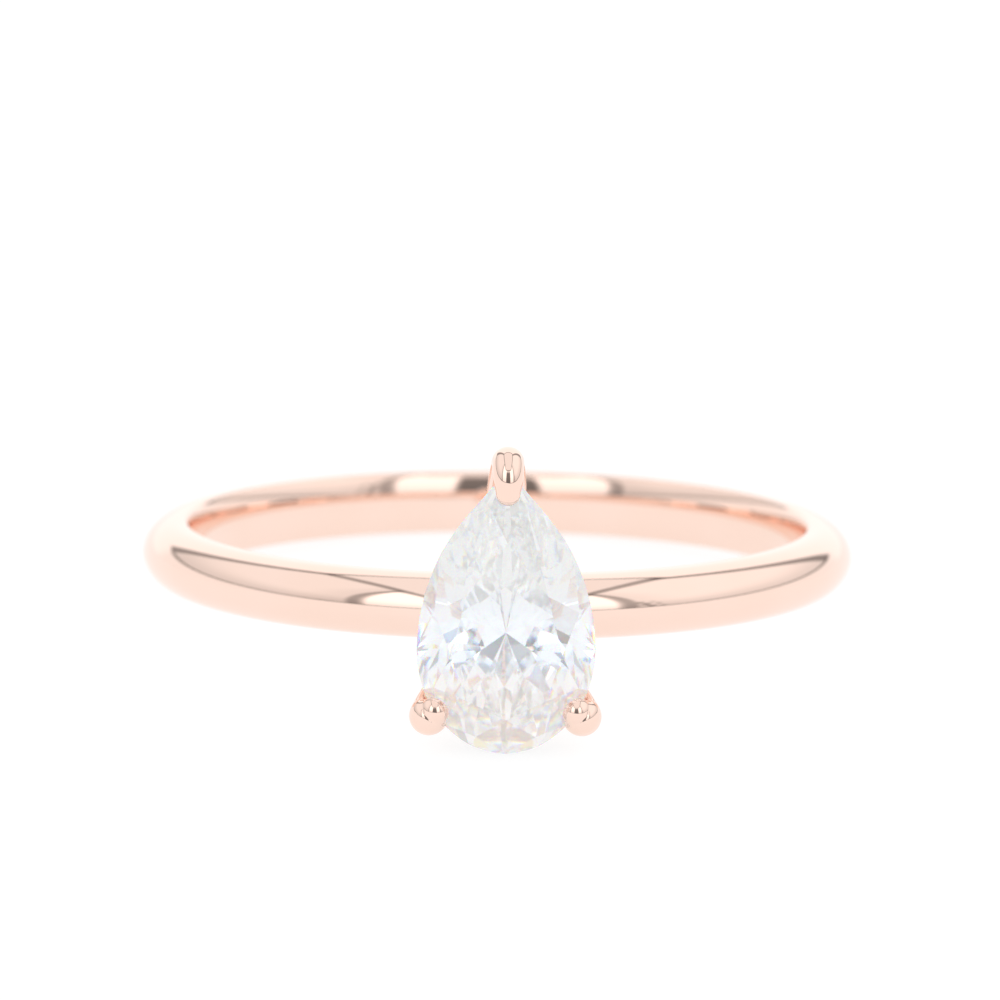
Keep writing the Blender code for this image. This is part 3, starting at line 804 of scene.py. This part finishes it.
def build_tent():
    """A white light tent: bright front panels, paler walls, and dark edges where the cloth is sewn."""
    world = bpy.data.worlds.new("light_tent")
    bpy.context.scene.world = world
    world.use_nodes = True
    world.node_tree.nodes.clear()
    nodes = Nodes(world.node_tree)
    x, z, turn, height = tent_directions(nodes)
    at_back = nodes.step(nodes.math("ABSOLUTE", turn), *BACK_WALL, 0.0, 1.0)
    skirt = nodes.between(nodes.step(turn, -SKIRT_CHANGE, SKIRT_CHANGE, 0.0, 1.0), *SKIRT)
    above_skirt = nodes.math("SUBTRACT", height, skirt)
    walls = tent_walls(nodes, turn, height, above_skirt, at_back)
    cloth = under_roof(nodes, walls, x, z, height)
    table = nodes.between(at_back, TABLE_LIGHT, BACK_LIGHT)
    light = nodes.between(nodes.step(above_skirt, -SKIRT_FADE, SKIRT_FADE, 0.0, 1.0), table, cloth)
    skirt_line = nodes.near(above_skirt, 0.0, SKIRT_LINE, SKIRT_SHADE)
    light = nodes.product(light, nodes.between(at_back, skirt_line, 1.0))
    background = nodes.add("ShaderNodeBackground", Color=(1.0, 1.0, 1.0, 1.0), Strength=light)
    output = nodes.add("ShaderNodeOutputWorld")
    nodes.feed(output.inputs["Surface"], background.outputs[0])


FLOOR_SIZE = 3.0  # metres
FLOOR_DROP = 0.02
FLOOR_GLOW = 0.86
FLOOR_WHITE = 0.2
FLOOR_GRAIN = 1.02  # the paper's palest grain over its darkest
FLOOR_NOISE = (500.0, 4.0, 0.5)
REST_INSET = 0.5  # the band rests this far inside its outer crest


def build_floor():
    """A white table under the stone's round end and the back of the band, where the ring rests."""
    rear = BORE_CENTRE + np.array([0, OUTER_RADIUS - REST_INSET, -HALF_WIDTH])
    nose = BORE_CENTRE + at(0, STONE_LOW[2], GIRDLE_OUT)
    slope = math.atan2(rear[2] - nose[2], rear[1] - nose[1])
    mesh = bpy.data.meshes.new("table")
    half = FLOOR_SIZE / 2
    corners = [(-half, -half, 0), (half, -half, 0), (half, half, 0), (-half, half, 0)]
    mesh.from_pydata(corners, [], [(0, 1, 2, 3)])
    table = add_object(mesh)
    table.location = (Vector(nose) - Vector((0, 0, FLOOR_DROP))) * MM
    table.rotation_euler = (slope, 0, 0)
    material, nodes = new_material("white_paper")
    place = nodes.add("ShaderNodeTexCoord").outputs["Object"]
    grain = nodes.noise(place, *FLOOR_NOISE)
    darker, paler = ((white, white, white, 1) for white in (FLOOR_WHITE, FLOOR_WHITE * FLOOR_GRAIN))
    diffuse = nodes.add("ShaderNodeBsdfDiffuse", Color=nodes.mix(grain, darker, paler))
    glow = nodes.add("ShaderNodeEmission", Strength=FLOOR_GLOW)
    output = nodes.add("ShaderNodeOutputMaterial")
    nodes.feed(output.inputs["Surface"], nodes.together(diffuse, glow))
    mesh.materials.append(material)


CAMERA_DISTANCE = 220.2
CAMERA_LENS = 278.8
CAMERA_PITCH = math.radians(9.18)
CAMERA_TURN = math.radians(1.25)
CAMERA_ROLL = -0.0105  # radians
CAMERA_RIGHT = 0.0825  # the camera's axis passes this far from the centre of the bore
CAMERA_UP = 1.461
CAMERA_NEAR_CLIP = 1.0
FOCUS_NEARER = 11.5  # the lens is focused this much nearer than the part's origin
APERTURE = 105


def build_camera():
    """A long lens a little above the band, focused on the part of the ring nearest to it."""
    back = Vector(
        (
            -math.sin(CAMERA_TURN) * math.cos(CAMERA_PITCH),
            -math.cos(CAMERA_TURN) * math.cos(CAMERA_PITCH),
            math.sin(CAMERA_PITCH),
        )
    )
    level = Vector((math.cos(CAMERA_TURN), -math.sin(CAMERA_TURN), 0))
    upright = back.cross(level)
    right = level * math.cos(CAMERA_ROLL) - upright * math.sin(CAMERA_ROLL)
    up = level * math.sin(CAMERA_ROLL) + upright * math.cos(CAMERA_ROLL)
    place = Vector(BORE_CENTRE) + right * CAMERA_RIGHT + up * CAMERA_UP + back * CAMERA_DISTANCE
    camera = bpy.data.objects.new("camera", bpy.data.cameras.new("camera"))
    bpy.context.scene.collection.objects.link(camera)
    axes = Matrix((right, up, back)).transposed().to_4x4()
    camera.matrix_world = Matrix.Translation(place * MM) @ axes
    camera.data.lens = CAMERA_LENS
    camera.data.clip_start = CAMERA_NEAR_CLIP * MM
    bpy.context.scene.camera = camera

    aim = bpy.data.objects.new("focus_aim", None)
    focus = bpy.data.objects.new("focus_point", None)
    for empty in (aim, focus):
        bpy.context.scene.collection.objects.link(empty)
    track = aim.constraints.new("TRACK_TO")
    track.target = camera
    track.track_axis = "TRACK_Z"
    track.up_axis = "UP_Y"
    focus.parent = aim
    focus.location = (0, 0, FOCUS_NEARER * MM)
    camera.data.dof.use_dof = True
    camera.data.dof.focus_object = focus
    camera.data.dof.aperture_fstop = APERTURE


ROSE_GOLD = (0.965, 0.735, 0.635)
DEEPER_GOLD = (0.955, 0.72, 0.615)
GOLD_ROUGHNESS, GOLD_RIPPLE = 0.02, 0.0000006
GOLD_SOLDER = (0.95, 0.74, 0.64)
DEEPER_SOLDER = (0.94, 0.71, 0.6)
SOLDER_ROUGHNESS, SOLDER_RIPPLE = 0.07, 0.000003
LIGHT_BOUNCES = 32  # enough for light that crosses the stone many times
MIRROR_BOUNCES = 16


def build():
    gold = polished_gold("rose_gold_polish", ROSE_GOLD, DEEPER_GOLD, GOLD_ROUGHNESS, GOLD_RIPPLE)
    alloy = polished_gold(
        "gold_solder_flow", GOLD_SOLDER, DEEPER_SOLDER, SOLDER_ROUGHNESS, SOLDER_RIPPLE
    )
    add_piece("band", band_mesh(), gold, "shank")
    add_piece("sizing_seam", seam_mesh(), alloy, "shank_seam_solder")
    build_head(gold, alloy)
    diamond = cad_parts["diamond"]
    diamond.data.materials.clear()
    diamond.data.materials.append(brilliant_crystal("diamond_crystal"))
    diamond.data.shade_flat()

    build_tent()
    build_floor()
    build_camera()
    scene = bpy.context.scene
    scene.view_settings.view_transform = "Standard"
    scene.cycles.max_bounces = LIGHT_BOUNCES
    scene.cycles.transmission_bounces = LIGHT_BOUNCES
    scene.cycles.glossy_bounces = MIRROR_BOUNCES

    bpy.context.view_layer.update()


build()
